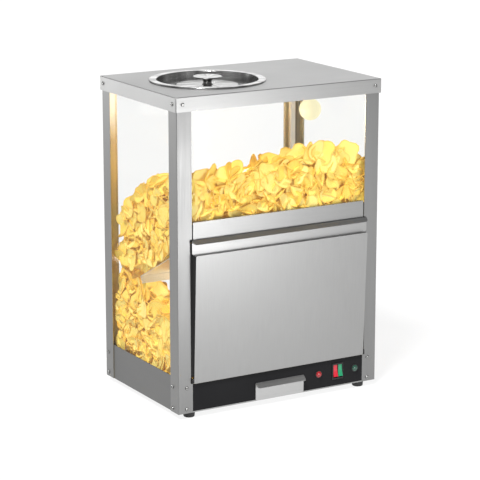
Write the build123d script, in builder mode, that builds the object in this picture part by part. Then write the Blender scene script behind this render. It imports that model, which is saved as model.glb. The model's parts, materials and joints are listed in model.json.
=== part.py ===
from build123d import *

import os
from math import cos, radians, sin, tan

# Countertop chip warmer: a glazed steel cabinet that is filled through a round lid in its top.
# The chips slide down a sloping shelf to the rear and drop into a bin with a drop-down door.
# Millimetres. +X is the right-hand side of someone facing the front, +Y is the rear, +Z is up.
# The origin is the middle of the footprint, on the surface that the feet stand on.

os.makedirs("parts", exist_ok=True)

# ---- Driving dimensions ----
WIDTH = 460.0
DEPTH = 310.0
FOOT_H = 12.0
CABINET_H = 625.0

POST_LEG = 32.0
POST_T = 1.5
SHEET = 1.0
COVER_T = 1.2
GLASS_T = 4.0
FIT = 0.1  # gap between sheets that are screwed together

COVER_OVERHANG = 3.2
SKIRT_H = 28.5
LID_X = -75.0
LID_R = 116.0
FILLER_R = 104.0

PANEL_H = 72.0  # solid lower walls, above the bottom of the cabinet
FLOOR_Z = FOOT_H + 60.0
RAIL_Z = (352.0, 392.0)
DOOR_Z = (71.5, 329.0)
DOOR_HALF = 197.0
DOOR_PROUD = (4.5, 14.7)  # front of the door ahead of the posts, at its bottom and its top
PULL_TOP = 358.0
NOTCH = 4.0
FASCIA_Z = (14.8, 69.2)

SHELF_PITCH = 27.3  # degrees
SHELF_REAR = (15.0, 252.0)
SHELF_LIP = 15.0

CONTROL_Z = 44.6
HEAT_LAMP_X = 92.0
SWITCH_X = 138.0
READY_LAMP_X = 179.0
BULB_X = 166.0
BULB_Z = 557.0
BULB_R = 22.5
GLAND_AT = (150.0, 40.0)
GLAND_REACH = 14.7  # out of the rear, as far as the door's pull stands out of the front

# ---- Planes and faces worked out from them ----
RIGHT = WIDTH / 2
BACK = DEPTH / 2
FRONT = -BACK
TOP = FOOT_H + CABINET_H
PANEL_TOP = FOOT_H + PANEL_H
UNDER_COVER = TOP - COVER_T
COVER_X = RIGHT + COVER_OVERHANG
COVER_Y = BACK + COVER_OVERHANG
SIDE_IN = RIGHT - POST_T  # inner faces of the posts
END_IN = BACK - POST_T
PAN_X = SIDE_IN - SHEET - 2 * FIT  # room inside the lower panels
PAN_Y = END_IN - SHEET - 2 * FIT
PANEL_FRONT = FRONT + POST_T + FIT
FRONT_FLANGE_TOP = DOOR_Z[0] - 0.7

SCREW_R = 1.9
SCREW_HOLE_R = 2.0
HEAD_R = 3.8
HEAD_H = 2.4

INWARD = {-1: Align.MIN, 1: Align.MAX}


# ---- Helpers ----
def save(piece, name):
    """Labels a finished piece and writes it as one node."""
    piece.part.label = name
    export_step(piece.part, f"parts/{name}.step")


def span(side, inner, outer):
    """The two ends of a stretch on one side of the middle, lowest first."""
    return tuple(sorted((side * inner, side * outer)))


def block(x, y, z, mode=Mode.ADD):
    """A box between two ends along each axis."""
    with Locations(((x[0] + x[1]) / 2, (y[0] + y[1]) / 2, (z[0] + z[1]) / 2)):
        Box(x[1] - x[0], y[1] - y[0], z[1] - z[0], mode=mode)


def folded_sheet(path, thickness, width, plane=Plane.YZ):
    """A bent sheet: the middle line of its section, thickened and extruded both ways."""
    with BuildSketch(plane) as section:
        with BuildLine():
            Polyline(*path)
        trace(line_width=thickness)
    extrude(section.sketch, amount=width / 2, both=True)


def facing(x, y, z):
    """A plane at a point of an upright wall, looking out of the cabinet."""
    outward = (0, 1 if y > 0 else -1, 0) if abs(y) >= BACK else (1 if x > 0 else -1, 0, 0)
    return Plane(origin=(x, y, z), z_dir=outward)


def drill(planes, radius, depth):
    """A round hole going in from each plane."""
    for plane in planes:
        with BuildSketch(plane) as hole:
            Circle(radius)
        extrude(hole.sketch, amount=-depth, mode=Mode.SUBTRACT)


def pan_screw(shank):
    """A cross-recess pan-head screw, with the underside of its head on the XY plane."""
    rim = 0.8
    crown = HEAD_R + rim - HEAD_H  # radius of the flat on top, which the cross recess stays inside
    with BuildPart() as screw:
        with BuildSketch(Plane.XZ):
            with BuildLine():
                Polyline((crown, HEAD_H), (0, HEAD_H), (0, -shank), (SCREW_R, -shank), (SCREW_R, 0))
                Polyline((SCREW_R, 0), (HEAD_R, 0), (HEAD_R, rim))
                TangentArc((crown, HEAD_H), (HEAD_R, rim), tangent=(1, 0))
            make_face()
        revolve(axis=Axis.Z)
        with BuildSketch(Plane.XY.offset(HEAD_H)):
            Rectangle(3.6, 0.8)
            Rectangle(0.8, 3.6)
        extrude(amount=-1.3, mode=Mode.SUBTRACT)
    return screw.part


def hooded_plate(width, plate_y, bottom, top, reach, drop, corner, foot=0.0):
    """An upright plate bent forwards and down at its top into a finger hood."""
    path = [(plate_y, bottom), (plate_y, top), (plate_y - reach, top - drop)]
    if foot:
        path.insert(0, (plate_y + foot, bottom))
    folded_sheet(path, SHEET, width)
    with BuildSketch(Plane.XY) as plan:
        with Locations((0, plate_y - reach - SHEET / 2)):
            Rectangle(width, reach + foot + SHEET, align=(Align.CENTER, Align.MIN))
        fillet(plan.vertices().group_by(Axis.Y)[0], corner)
    extrude(plan.sketch, amount=TOP, mode=Mode.INTERSECT)
    with BuildSketch(Plane.XZ) as outline:
        with Locations((0, bottom - SHEET / 2)):
            Rectangle(width, top - bottom + SHEET, align=(Align.CENTER, Align.MIN))
        chamfer(outline.vertices().group_by(Axis.Y)[0], 3.5)
    extrude(outline.sketch, amount=DEPTH, both=True, mode=Mode.INTERSECT)


# ---- Screw places ----
LOW_SCREW_Z = (FOOT_H + 8.0, FOOT_H + 51.0)
END_SCREW_X = RIGHT - 19.0
FRONT_SIDE_SCREW_Y = FRONT + 24.0
REAR_SIDE_SCREW_Y = BACK - 10.0
SKIRT_SCREW_Z = TOP - 14.0
SKIRT_SCREW_X = RIGHT - 11.5
SKIRT_SCREW_Y = BACK - 11.5

post_screw_planes = []
for z in LOW_SCREW_Z:
    for sx in (-1, 1):
        for sy in (-1, 1):
            post_screw_planes.append(facing(sx * END_SCREW_X, sy * BACK, z))
        post_screw_planes.append(facing(sx * RIGHT, FRONT_SIDE_SCREW_Y, z))
        post_screw_planes.append(facing(sx * RIGHT, REAR_SIDE_SCREW_Y, z))

skirt_screw_planes = []
for sx in (-1, 1):
    for sy in (-1, 1):
        skirt_screw_planes.append(facing(sx * SKIRT_SCREW_X, sy * COVER_Y, SKIRT_SCREW_Z))
        skirt_screw_planes.append(facing(sx * COVER_X, sy * SKIRT_SCREW_Y, SKIRT_SCREW_Z))

# ---- Corner posts ----
for sx, side in ((-1, "left"), (1, "right")):
    for sy, end in ((-1, "front"), (1, "rear")):
        with BuildPart() as post:
            with BuildSketch(Plane.XY.offset(FOOT_H)):
                with Locations((sx * RIGHT, sy * BACK)):
                    Rectangle(POST_LEG, POST_T, align=(INWARD[sx], INWARD[sy]))
                    Rectangle(POST_T, POST_LEG, align=(INWARD[sx], INWARD[sy]))
            extrude(amount=UNDER_COVER - FOOT_H)
            corner = (sx * RIGHT, sy * BACK, TOP / 2)
            fillet(post.edges().filter_by(Axis.Z).sort_by_distance(corner)[0], 1.4)
            if end == "front":
                leg_end = RIGHT - POST_LEG
                block(
                    span(sx, leg_end - 1, leg_end + NOTCH),
                    (FRONT - 1, FRONT + POST_T + 1),
                    (FRONT_FLANGE_TOP, PULL_TOP + 1),
                    mode=Mode.SUBTRACT,
                )
            drill(post_screw_planes, SCREW_HOLE_R, POST_T + 1)
            drill(skirt_screw_planes, SCREW_HOLE_R, COVER_OVERHANG + POST_T + 1)
        save(post, f"post_{end}_{side}")

# ---- Base pan, with a hemmed front lip and cooling slots ----
TRAY_HALF = 51.5
PAN_WALL_TOP = FOOT_H + 15.0
PAN_FLOOR = FOOT_H + COVER_T
LIP_H = 2.4
FOOT_X = 198.0
FOOT_Y = 139.0
with BuildPart() as base_pan:
    block((-PAN_X, PAN_X), (-PAN_Y, PAN_Y), (FOOT_H, PAN_WALL_TOP))
    inner = COVER_T
    block(
        (-PAN_X + inner, PAN_X - inner),
        (-PAN_Y + inner, PAN_Y - inner),
        (PAN_FLOOR, PAN_WALL_TOP + 1),
        mode=Mode.SUBTRACT,
    )
    block(
        (-TRAY_HALF - 4, TRAY_HALF + 4),
        (-PAN_Y - 1, -PAN_Y + inner + 1),
        (PAN_FLOOR, PAN_WALL_TOP + 1),
        mode=Mode.SUBTRACT,
    )
    lip_half = RIGHT - POST_LEG - 0.2
    block((-lip_half, lip_half), (FRONT, -PAN_Y + inner), (FOOT_H, FOOT_H + LIP_H))
    with BuildSketch(Plane.XY.offset(FOOT_H)):
        for x in (-130, 130):
            with Locations((x, 20)):
                with GridLocations(0, 18, 1, 7):
                    SlotOverall(70, 5)
    extrude(amount=COVER_T, mode=Mode.SUBTRACT)
    with BuildSketch(Plane.XY.offset(FOOT_H)):
        with GridLocations(2 * FOOT_X, 2 * FOOT_Y, 2, 2):
            Circle(SCREW_HOLE_R)
    extrude(amount=LIP_H, mode=Mode.SUBTRACT)
save(base_pan, "base_pan")

# ---- Rubber feet, each with a sunk screw ----
FOOT_RECESS = 5.0
for sx, side in ((-1, "left"), (1, "right")):
    for sy, end in ((-1, "front"), (1, "rear")):
        axis = Axis((sx * FOOT_X, sy * FOOT_Y, 0), (0, 0, 1))
        section = Plane(origin=(sx * FOOT_X, sy * FOOT_Y, 0), x_dir=(1, 0, 0), z_dir=(0, -1, 0))
        with BuildPart() as foot:
            with BuildSketch(section):
                with BuildLine():
                    Polyline(
                        (9.0, 0),
                        (5.0, 0),
                        (5.0, FOOT_RECESS),
                        (SCREW_HOLE_R, FOOT_RECESS),
                        (SCREW_HOLE_R, FOOT_H),
                        (12.0, FOOT_H),
                        (11.2, 2.2),
                    )
                    ThreePointArc((11.2, 2.2), (10.5, 0.7), (9.0, 0))
                make_face()
            revolve(axis=axis)
        save(foot, f"foot_{end}_{side}")

# ---- Lower walls ----
FLANGE = 12.0  # the ledges that the bin floor rests on
LEDGE_Z = FLOOR_Z - SHEET
for sx, side in ((-1, "left"), (1, "right")):
    with BuildPart() as side_panel:
        wall_end = END_IN - 0.2
        block(span(sx, SIDE_IN - SHEET, SIDE_IN), (-wall_end, wall_end), (FOOT_H, PANEL_TOP))
        ledge = span(sx, SIDE_IN - SHEET - FLANGE, SIDE_IN - SHEET)
        block(ledge, (FRONT + 22, BACK - 22), (LEDGE_Z - SHEET, LEDGE_Z))
        drill(post_screw_planes, SCREW_HOLE_R, POST_T + SHEET + 1)
    save(side_panel, f"side_panel_{side}")

GLAND_R = 8.0
with BuildPart() as rear_panel:
    block((-PAN_X, PAN_X), (END_IN - FIT - SHEET, END_IN - FIT), (FOOT_H, PANEL_TOP))
    block(
        (FLANGE + 4 - PAN_X, PAN_X - FLANGE - 4),
        (END_IN - FIT - SHEET - FLANGE, END_IN - FIT - SHEET),
        (LEDGE_Z - SHEET, LEDGE_Z),
    )
    drill(post_screw_planes, SCREW_HOLE_R, POST_T + SHEET + 1)
    drill([facing(GLAND_AT[0], BACK, GLAND_AT[1])], GLAND_R, 5)
save(rear_panel, "rear_panel")

SWITCH_HALF = (11.8, 14.8)
SLOT_Z = (15.2, 43.0)
LAMP_BODY_R = 4.9


def control_cutouts(depth, back):
    """Openings for the switch, the pilot lamps and the crumb tray in a front wall."""
    wall = (back - depth - 1, back + 1)
    x_half, z_half = SWITCH_HALF[0] + 0.3, SWITCH_HALF[1] + 0.3
    switch_x = (SWITCH_X - x_half, SWITCH_X + x_half)
    block(switch_x, wall, (CONTROL_Z - z_half, CONTROL_Z + z_half), Mode.SUBTRACT)
    block((-TRAY_HALF - 1, TRAY_HALF + 1), wall, SLOT_Z, Mode.SUBTRACT)
    for x in (HEAT_LAMP_X, READY_LAMP_X):
        lamp_axis = Plane(origin=(x, wall[0], CONTROL_Z), z_dir=(0, -1, 0))
        drill([lamp_axis], LAMP_BODY_R + FIT, depth + 2)


with BuildPart() as front_panel:
    panel_back = PANEL_FRONT + SHEET
    block((-PAN_X, PAN_X), (PANEL_FRONT, panel_back), (FOOT_H + LIP_H + 0.2, FRONT_FLANGE_TOP))
    flange_x = (FLANGE + 3 - PAN_X, PAN_X - FLANGE - 3)
    block(flange_x, (panel_back, panel_back + FLANGE), (FRONT_FLANGE_TOP - SHEET, FRONT_FLANGE_TOP))
    control_cutouts(SHEET, panel_back)
    drill(post_screw_planes, SCREW_HOLE_R, POST_T + SHEET + 1)
save(front_panel, "front_panel")

FASCIA_T = 1.7
FASCIA_FRONT = FRONT + POST_T - FASCIA_T
with BuildPart() as control_fascia:
    half = RIGHT - POST_LEG - 0.5
    block((-half, half), (FASCIA_FRONT, FASCIA_FRONT + FASCIA_T), FASCIA_Z)
    control_cutouts(FASCIA_T, FASCIA_FRONT + FASCIA_T)
save(control_fascia, "control_fascia")

# ---- Perforated bin floor ----
WIRE_WAY_X = (207.0, 217.0)
WIRE_WAY_Y = (138.0, 146.4)
with BuildPart() as bin_floor:
    block((-PAN_X + 0.5, PAN_X - 0.5), (FRONT + 19, PAN_Y - 0.4), (LEDGE_Z, FLOOR_Z))
    with BuildSketch(Plane.XY.offset(LEDGE_Z)):
        with Locations((0, 6)):
            with GridLocations(24, 20, 17, 12):
                SlotOverall(15, 4)
    extrude(amount=SHEET, mode=Mode.SUBTRACT)
    block(
        (WIRE_WAY_X[0] + 2, WIRE_WAY_X[1] - 2),
        (WIRE_WAY_Y[0] + 2, WIRE_WAY_Y[1] - 2),
        (LEDGE_Z - 1, FLOOR_Z + 1),
        mode=Mode.SUBTRACT,
    )
save(bin_floor, "bin_floor")

# ---- Front rail and the plastic blocks that hold it between the posts ----
RAIL_HALF = RIGHT - POST_LEG - 2.5
with BuildPart() as front_rail:
    face_y = FRONT + POST_T / 2
    return_z = RAIL_Z[1] - POST_T / 2
    folded_sheet([(face_y, RAIL_Z[0]), (face_y, return_z), (face_y + 7.5, return_z)], POST_T, 2 * RAIL_HALF)
save(front_rail, "front_rail")

with BuildPart() as rail_brackets:
    for side in (-1, 1):
        block(span(side, 189.5, 222.0), (FRONT + POST_T, FRONT + POST_T + 6), (RAIL_Z[0] + 1, RAIL_Z[1] - 5))
save(rail_brackets, "rail_brackets")

# ---- Sloping shelf ----
slope = tan(radians(SHELF_PITCH))
SHELF_T = 1.2
SHELF_HALF = 221.0
flange_y = FRONT + POST_T + FIT + SHELF_T / 2
fold_z = SHELF_REAR[1] + (SHELF_REAR[0] - flange_y) * slope
with BuildPart() as chute_shelf:
    lip_end = (
        SHELF_REAR[0] - SHELF_LIP * sin(radians(SHELF_PITCH)),
        SHELF_REAR[1] - SHELF_LIP * cos(radians(SHELF_PITCH)),
    )
    folded_sheet([(flange_y, 372.0), (flange_y, fold_z), SHELF_REAR, lip_end], SHELF_T, 2 * SHELF_HALF)
    for side in (-1, 1):
        block(span(side, 189.0, SHELF_HALF + 1), (FRONT, FRONT + 3.6), (fold_z - 10, 373.0), Mode.SUBTRACT)
save(chute_shelf, "chute_shelf")

with BuildPart() as shelf_brackets:
    clip_t = 1.5
    drop = (SHELF_T / 2 + clip_t / 2 + 0.05) / cos(radians(SHELF_PITCH))
    clip_y = (FRONT + POST_T + FIT + clip_t / 2, FRONT + 27.0)
    clip_z = [SHELF_REAR[1] + (SHELF_REAR[0] - y) * slope - drop for y in clip_y]
    for side in (-1, 1):
        clip_path = [(clip_y[0], 306.0), (clip_y[0], clip_z[0]), (clip_y[1], clip_z[1])]
        folded_sheet(clip_path, clip_t, 8.0, Plane.YZ.offset(side * 217.0))
save(shelf_brackets, "shelf_brackets")

# ---- Glass and the channels that hold its upright edges ----
CHANNEL_OUT = GLASS_T + 2.4
CHANNEL_DEEP = 11.5
GLASS_TOP = UNDER_COVER - 5
SIDE_GLASS_X = (SIDE_IN - 1.3 - GLASS_T, SIDE_IN - 1.3)
END_GLASS_Y = (END_IN - 1.3 - GLASS_T, END_IN - 1.3)
SIDE_GLASS_Y = BACK - 8.7
END_GLASS_X = 216.2


def channel_section(side, width_out, glass_edge):
    """A U channel in plan, opening towards the middle, round one edge of a pane."""
    outer = glass_edge + 1.2
    with Locations((side * (outer - CHANNEL_DEEP / 2), 0)):
        Rectangle(CHANNEL_DEEP, width_out)
    with Locations((side * (outer - 1.0 - CHANNEL_DEEP / 2), 0)):
        Rectangle(CHANNEL_DEEP, GLASS_T + 0.4, mode=Mode.SUBTRACT)


for sx, side in ((-1, "left"), (1, "right")):
    with BuildPart() as glass_side:
        block(span(sx, *SIDE_GLASS_X), (-SIDE_GLASS_Y, SIDE_GLASS_Y), (FLOOR_Z + 1, GLASS_TOP))
    save(glass_side, f"glass_{side}")

with BuildPart() as side_glass_channels:
    for sx in (-1, 1):
        middle = sx * (SIDE_GLASS_X[0] + SIDE_GLASS_X[1]) / 2
        for sy in (-1, 1):
            with BuildSketch(Plane(origin=(middle, 0, PANEL_TOP + 0.2), x_dir=(0, 1, 0), z_dir=(0, 0, 1))):
                channel_section(sy, CHANNEL_OUT, SIDE_GLASS_Y)
            extrude(amount=GLASS_TOP - PANEL_TOP)
save(side_glass_channels, "side_glass_channels")

with BuildPart() as glass_rear:
    block((-END_GLASS_X, END_GLASS_X), END_GLASS_Y, (FLOOR_Z + 1, GLASS_TOP))
save(glass_rear, "glass_rear")

FRONT_GLASS_Z = RAIL_Z[1] + 0.2
with BuildPart() as glass_front:
    block((-END_GLASS_X, END_GLASS_X), (-END_GLASS_Y[1], -END_GLASS_Y[0]), (FRONT_GLASS_Z, GLASS_TOP))
save(glass_front, "glass_front")

with BuildPart() as end_glass_channels:
    for sy, bottom in ((-1, FRONT_GLASS_Z), (1, PANEL_TOP + 0.2)):
        middle = sy * (END_GLASS_Y[0] + END_GLASS_Y[1]) / 2
        for sx in (-1, 1):
            with BuildSketch(Plane(origin=(0, middle, bottom), z_dir=(0, 0, 1))):
                channel_section(sx, CHANNEL_OUT, END_GLASS_X)
            extrude(amount=GLASS_TOP + 0.2 - bottom)
save(end_glass_channels, "end_glass_channels")

# ---- Top cover with a collared filler hole ----
COLLAR_Z = TOP - 15.0
with BuildPart() as top_cover:
    block((-COVER_X, COVER_X), (-COVER_Y, COVER_Y), (TOP - SKIRT_H, TOP))
    fillet(top_cover.edges().filter_by(Axis.Z), 2.4)
    fillet(top_cover.faces().sort_by(Axis.Z)[-1].edges(), 1.4)
    inner_x, inner_y = COVER_X - COVER_T, COVER_Y - COVER_T
    block((-inner_x, inner_x), (-inner_y, inner_y), (TOP - SKIRT_H - 1, UNDER_COVER), Mode.SUBTRACT)
    with BuildSketch(Plane.XY.offset(TOP)):
        with Locations((LID_X, 0)):
            Circle(FILLER_R)
    extrude(amount=-COVER_T - 1, mode=Mode.SUBTRACT)
    with BuildSketch(Plane.XY.offset(COLLAR_Z)):
        with Locations((LID_X, 0)):
            Circle(FILLER_R + COVER_T)
            Circle(FILLER_R, mode=Mode.SUBTRACT)
    extrude(amount=TOP - 0.6 - COLLAR_Z)
    drill(skirt_screw_planes, SCREW_HOLE_R, COVER_T + 1)
save(top_cover, "top_cover")

with BuildPart() as cover_spacers:
    for plane in skirt_screw_planes:
        with BuildSketch(plane.offset(-COVER_T)):
            Circle(4.5)
            Circle(SCREW_HOLE_R, mode=Mode.SUBTRACT)
        extrude(amount=COVER_T - COVER_OVERHANG)
save(cover_spacers, "cover_spacers")

skirt_screw = pan_screw(COVER_OVERHANG + POST_T - 0.1)
with BuildPart() as cover_screws:
    with Locations(*skirt_screw_planes):
        add(skirt_screw)
save(cover_screws, "cover_screws")

wall_screw = pan_screw(POST_T + SHEET + FIT)
foot_screw = pan_screw(FOOT_H - FOOT_RECESS + COVER_T + 1)
with BuildPart() as cabinet_screws:
    with Locations(*post_screw_planes):
        add(wall_screw)
    for sx in (-1, 1):
        for sy in (-1, 1):
            with Locations(Plane(origin=(sx * FOOT_X, sy * FOOT_Y, FOOT_RECESS), z_dir=(0, 0, -1))):
                add(foot_screw)
save(cabinet_screws, "cabinet_screws")

# ---- Lift-off lid: a dished disc with a rolled flange, and its knob ----
LID_T = 1.0
LID_TOP = TOP + 3.0
LID_FLOOR = TOP - 12.0
KNOB_SEAT = TOP - 8.5
KNOB_SCREW_HOLE = 2.2
lid_axis = Axis((LID_X, 0, 0), (0, 0, 1))
lid_section = Plane(origin=(LID_X, 0, 0), x_dir=(1, 0, 0), z_dir=(0, -1, 0))
with BuildPart() as lid:
    with BuildSketch(lid_section):
        with BuildLine():
            FilletPolyline(
                (LID_R - LID_T / 2, TOP + 0.3),
                (LID_R - LID_T / 2, LID_TOP - LID_T / 2),
                (FILLER_R - 2.4, LID_TOP - LID_T / 2),
                (FILLER_R - 4.0, LID_FLOOR),
                (67.0, LID_FLOOR),
                (61.0, KNOB_SEAT - LID_T / 2),
                (KNOB_SCREW_HOLE, KNOB_SEAT - LID_T / 2),
                radius=1.1,
            )
        trace(line_width=LID_T)
    revolve(axis=lid_axis)
save(lid, "lid")

KNOB_H = 16.4
with BuildPart() as lid_knob:
    with BuildSketch(Plane(origin=(LID_X, 0, KNOB_SEAT), x_dir=(1, 0, 0), z_dir=(0, -1, 0))):
        with BuildLine():
            Polyline((0, 9.0), (SCREW_R, 9.0), (SCREW_R, 0), (11.0, 0), (11.0, 1.0))
            ThreePointArc((11.0, 1.0), (8.8, 2.6), (8.2, 5.0))
            ThreePointArc((8.2, 5.0), (13.2, 11.8), (27.0, 14.4))
            ThreePointArc((27.0, 14.4), (28.4, 15.4), (27.2, KNOB_H))
            ThreePointArc((27.2, KNOB_H), (15.0, 15.0), (3.0, 14.4))
            Polyline((3.0, 14.4), (0, 14.4), (0, 9.0))
        make_face()
    revolve(axis=lid_axis)
save(lid_knob, "lid_knob")

with BuildPart() as lid_screw:
    with Locations(Plane(origin=(LID_X, 0, KNOB_SEAT - LID_T), z_dir=(0, 0, -1))):
        add(pan_screw(LID_T + 8.0))
save(lid_screw, "lid_screw")

# ---- Drop-down door ----
HINGE_Y = FRONT - 1.8
HINGE_Z = DOOR_Z[0] + 6.0
PIN_R = 1.4
LUG_X = (198.4, 200.4)
door_back = FRONT - 0.2
front_low = FRONT - DOOR_PROUD[0] + SHEET / 2
front_high = FRONT - DOOR_PROUD[1] + SHEET / 2
with BuildPart() as door_outer_pan:
    low_z, high_z = DOOR_Z[0] + SHEET / 2, DOOR_Z[1] - SHEET / 2
    pan_path = [(door_back, low_z), (front_low, low_z), (front_high, high_z), (door_back, high_z)]
    folded_sheet(pan_path, SHEET, 2 * DOOR_HALF)
    with BuildSketch(Plane.XZ):
        with Locations((0, DOOR_Z[0])):
            RectangleRounded(2 * DOOR_HALF, DOOR_Z[1] - DOOR_Z[0], 3.0, align=(Align.CENTER, Align.MIN))
    extrude(amount=DEPTH, both=True, mode=Mode.INTERSECT)
save(door_outer_pan, "door_outer_pan")

LINER_Z = (DOOR_Z[0] + 12.0, DOOR_Z[1] - SHEET)
STRIP_IN = 190.0
with BuildPart() as door_inner_panel:
    block((0.2 - STRIP_IN, STRIP_IN - 0.2), (door_back - SHEET, door_back), LINER_Z)
save(door_inner_panel, "door_inner_panel")

lean = (front_high - front_low) / (high_z - low_z)
with BuildPart() as door_edge_strips:
    for side in (-1, 1):
        middle = side * (STRIP_IN + DOOR_HALF - 0.5) / 2
        strip_front = [front_low + lean * (z - low_z) + SHEET / 2 + FIT for z in LINER_Z]
        with BuildSketch(Plane.YZ.offset(middle)):
            with BuildLine():
                Polyline(
                    (door_back, LINER_Z[0]),
                    (strip_front[0], LINER_Z[0]),
                    (strip_front[1], LINER_Z[1]),
                    (door_back, LINER_Z[1]),
                    close=True,
                )
            make_face()
        extrude(amount=(DOOR_HALF - 0.5 - STRIP_IN) / 2, both=True)
save(door_edge_strips, "door_edge_strips")

PULL_Y = FRONT - 4.5  # middle of the pull's plate
with BuildPart() as door_pull:
    hooded_plate(401.0, PULL_Y, DOOR_Z[1] + SHEET / 2, PULL_TOP, 9.4, 7.0, 8.0, foot=3.8)
save(door_pull, "door_pull")

with BuildPart() as hinge_pins:
    for side in (-1, 1):
        strap = span(side, 180.0, DOOR_HALF - 0.5)
        block(strap, (FRONT - 3.3, FRONT - 0.3), (DOOR_Z[0] + SHEET, LINER_Z[0]))
        with BuildSketch(Plane(origin=(side * 181.0, HINGE_Y, HINGE_Z), z_dir=(side, 0, 0))):
            Circle(PIN_R)
        extrude(amount=LUG_X[1] + 0.4 - 181.0)
save(hinge_pins, "hinge_pins")

with BuildPart() as hinge_brackets:
    for side in (-1, 1):
        block(span(side, *LUG_X), (FRONT - 5, FRONT + 16), (FRONT_FLANGE_TOP + FIT, HINGE_Z + 4.6))
        wing = span(side, 182.0, LUG_X[1])
        block(wing, (FRONT + 6, FRONT + 16), (FRONT_FLANGE_TOP + FIT, FRONT_FLANGE_TOP + FIT + 1.6))
        drill([Plane(origin=(side * 202.0, HINGE_Y, HINGE_Z), z_dir=(side, 0, 0))], PIN_R + 0.08, 6)
    noses = hinge_brackets.edges().filter_by(Axis.X).group_by(Axis.Y)[0]
    fillet(noses, 2.5)
save(hinge_brackets, "hinge_brackets")

# ---- Door seal round the opening, and the magnets let into its top strip ----
SEAL_X = (189.2, 200.0)
SEAL_Z = (84.5, 351.5)
TOP_STRIP_Z = (341.0, 351.5)
MAGNET_X = 120.0
with BuildPart() as door_seal:
    for side in (-1, 1):
        block(span(side, SEAL_X[0], 212.0), (PANEL_FRONT, PANEL_FRONT + SHEET), SEAL_Z)
        block(span(side, *SEAL_X), (FRONT + 0.1, PANEL_FRONT + SHEET), SEAL_Z)
        block(span(side, *SEAL_X), (FRONT - 3.7, FRONT + 0.1), (DOOR_Z[1] + 2, SEAL_Z[1]))
    block((-SEAL_X[1], SEAL_X[1]), (FRONT - 3.7, FRONT + POST_T), TOP_STRIP_Z)
    for side in (-1, 1):
        gap = (side * MAGNET_X - 18.3, side * MAGNET_X + 18.3)
        block(gap, (FRONT - 5, FRONT + POST_T + 1), (TOP_STRIP_Z[0] - 1, TOP_STRIP_Z[1] + 1), Mode.SUBTRACT)
save(door_seal, "door_seal")

with BuildPart() as magnet_catches:
    for side in (-1, 1):
        ends = (side * MAGNET_X - 18.0, side * MAGNET_X + 18.0)
        block(ends, (FRONT - 3.7, FRONT + POST_T), (TOP_STRIP_Z[0] + 0.2, TOP_STRIP_Z[1] - 0.2))
save(magnet_catches, "magnet_catches")

# ---- Crumb tray, its handle and its runners ----
TRAY_Z = (16.2, 42.0)
TRAY_BACK = 88.0
HANDLE_Y = FASCIA_FRONT - 0.4 - SHEET / 2
with BuildPart() as crumb_tray:
    tray_front = HANDLE_Y + SHEET / 2
    block((-TRAY_HALF, TRAY_HALF), (tray_front, TRAY_BACK), TRAY_Z)
    fillet(crumb_tray.edges().filter_by(Axis.Z), 3.0)
    block(
        (SHEET - TRAY_HALF, TRAY_HALF - SHEET),
        (tray_front + SHEET, TRAY_BACK - SHEET),
        (TRAY_Z[0] + SHEET, TRAY_Z[1] + 1),
        mode=Mode.SUBTRACT,
    )
save(crumb_tray, "crumb_tray")

with BuildPart() as tray_handle:
    hooded_plate(112.0, HANDLE_Y, FOOT_H + 0.6, FOOT_H + 37.0, 12.0, 8.0, 5.0)
save(tray_handle, "tray_handle")

for sx, side in ((-1, "left"), (1, "right")):
    with BuildPart() as runner:
        wall_x = TRAY_HALF + 1.1
        path = [(wall_x, 34.0), (wall_x, TRAY_Z[0] - 0.9), (TRAY_HALF - 8, TRAY_Z[0] - 0.9)]
        section = Plane(origin=(0, -30, 0), x_dir=(sx, 0, 0), z_dir=(0, -sx, 0))
        folded_sheet(path, SHEET, 236.0, section)
        block(span(sx, wall_x - 0.5, wall_x + 0.5), (-148, 88), (PAN_FLOOR, TRAY_Z[0]))
    save(runner, f"tray_runner_{side}")

# ---- Heater and its clips ----
HEATER_R = 3.2
HEATER_Z = 56.0
HEATER_X = 96.0
with BuildPart() as heating_element:
    with BuildLine() as heater_path:
        FilletPolyline(
            (-HEATER_X, 120, HEATER_Z),
            (-HEATER_X, -104, HEATER_Z),
            (HEATER_X, -104, HEATER_Z),
            (HEATER_X, 120, HEATER_Z),
            radius=38.0,
        )
    with BuildSketch(Plane(origin=heater_path.line @ 0, z_dir=heater_path.line % 0)):
        Circle(HEATER_R)
    sweep()
    for side in (-1, 1):
        terminal = Plane(origin=(side * HEATER_X, 116, HEATER_Z), z_dir=(0, 1, 0))
        for radius, length in ((5.0, 12.0), (1.8, 22.0)):
            with BuildSketch(terminal):
                Circle(radius)
            extrude(amount=length)
save(heating_element, "heating_element")

with BuildPart() as element_clips:
    for side in (-1, 1):
        for y in (-50.0, 80.0):
            block((side * HEATER_X - 6, side * HEATER_X + 6), (y - 1, y + 1), (PAN_FLOOR, HEATER_Z + 7))
            drill([Plane(origin=(side * HEATER_X, y + 2, HEATER_Z), z_dir=(0, 1, 0))], HEATER_R + 0.05, 4)
            block((side * HEATER_X - 6, side * HEATER_X + 6), (y - 1, y + 9), (PAN_FLOOR, PAN_FLOOR + 1.5))
save(element_clips, "element_clips")

# ---- Thermostat, terminal block and cord gland ----
with BuildPart() as thermostat:
    with BuildSketch(Plane.XY.offset(LEDGE_Z)):
        with Locations((-150, 20)):
            Circle(12.5)
    extrude(amount=-9.0)
    with BuildSketch(Plane.XY.offset(LEDGE_Z - 9)):
        with Locations((-150, 20)):
            Circle(9.0)
    extrude(amount=-4.0)
    for y in (14.0, 26.0):
        block((-151, -149), (y - 3, y + 3), (LEDGE_Z - 23, LEDGE_Z - 12.9))
save(thermostat, "thermostat")

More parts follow.
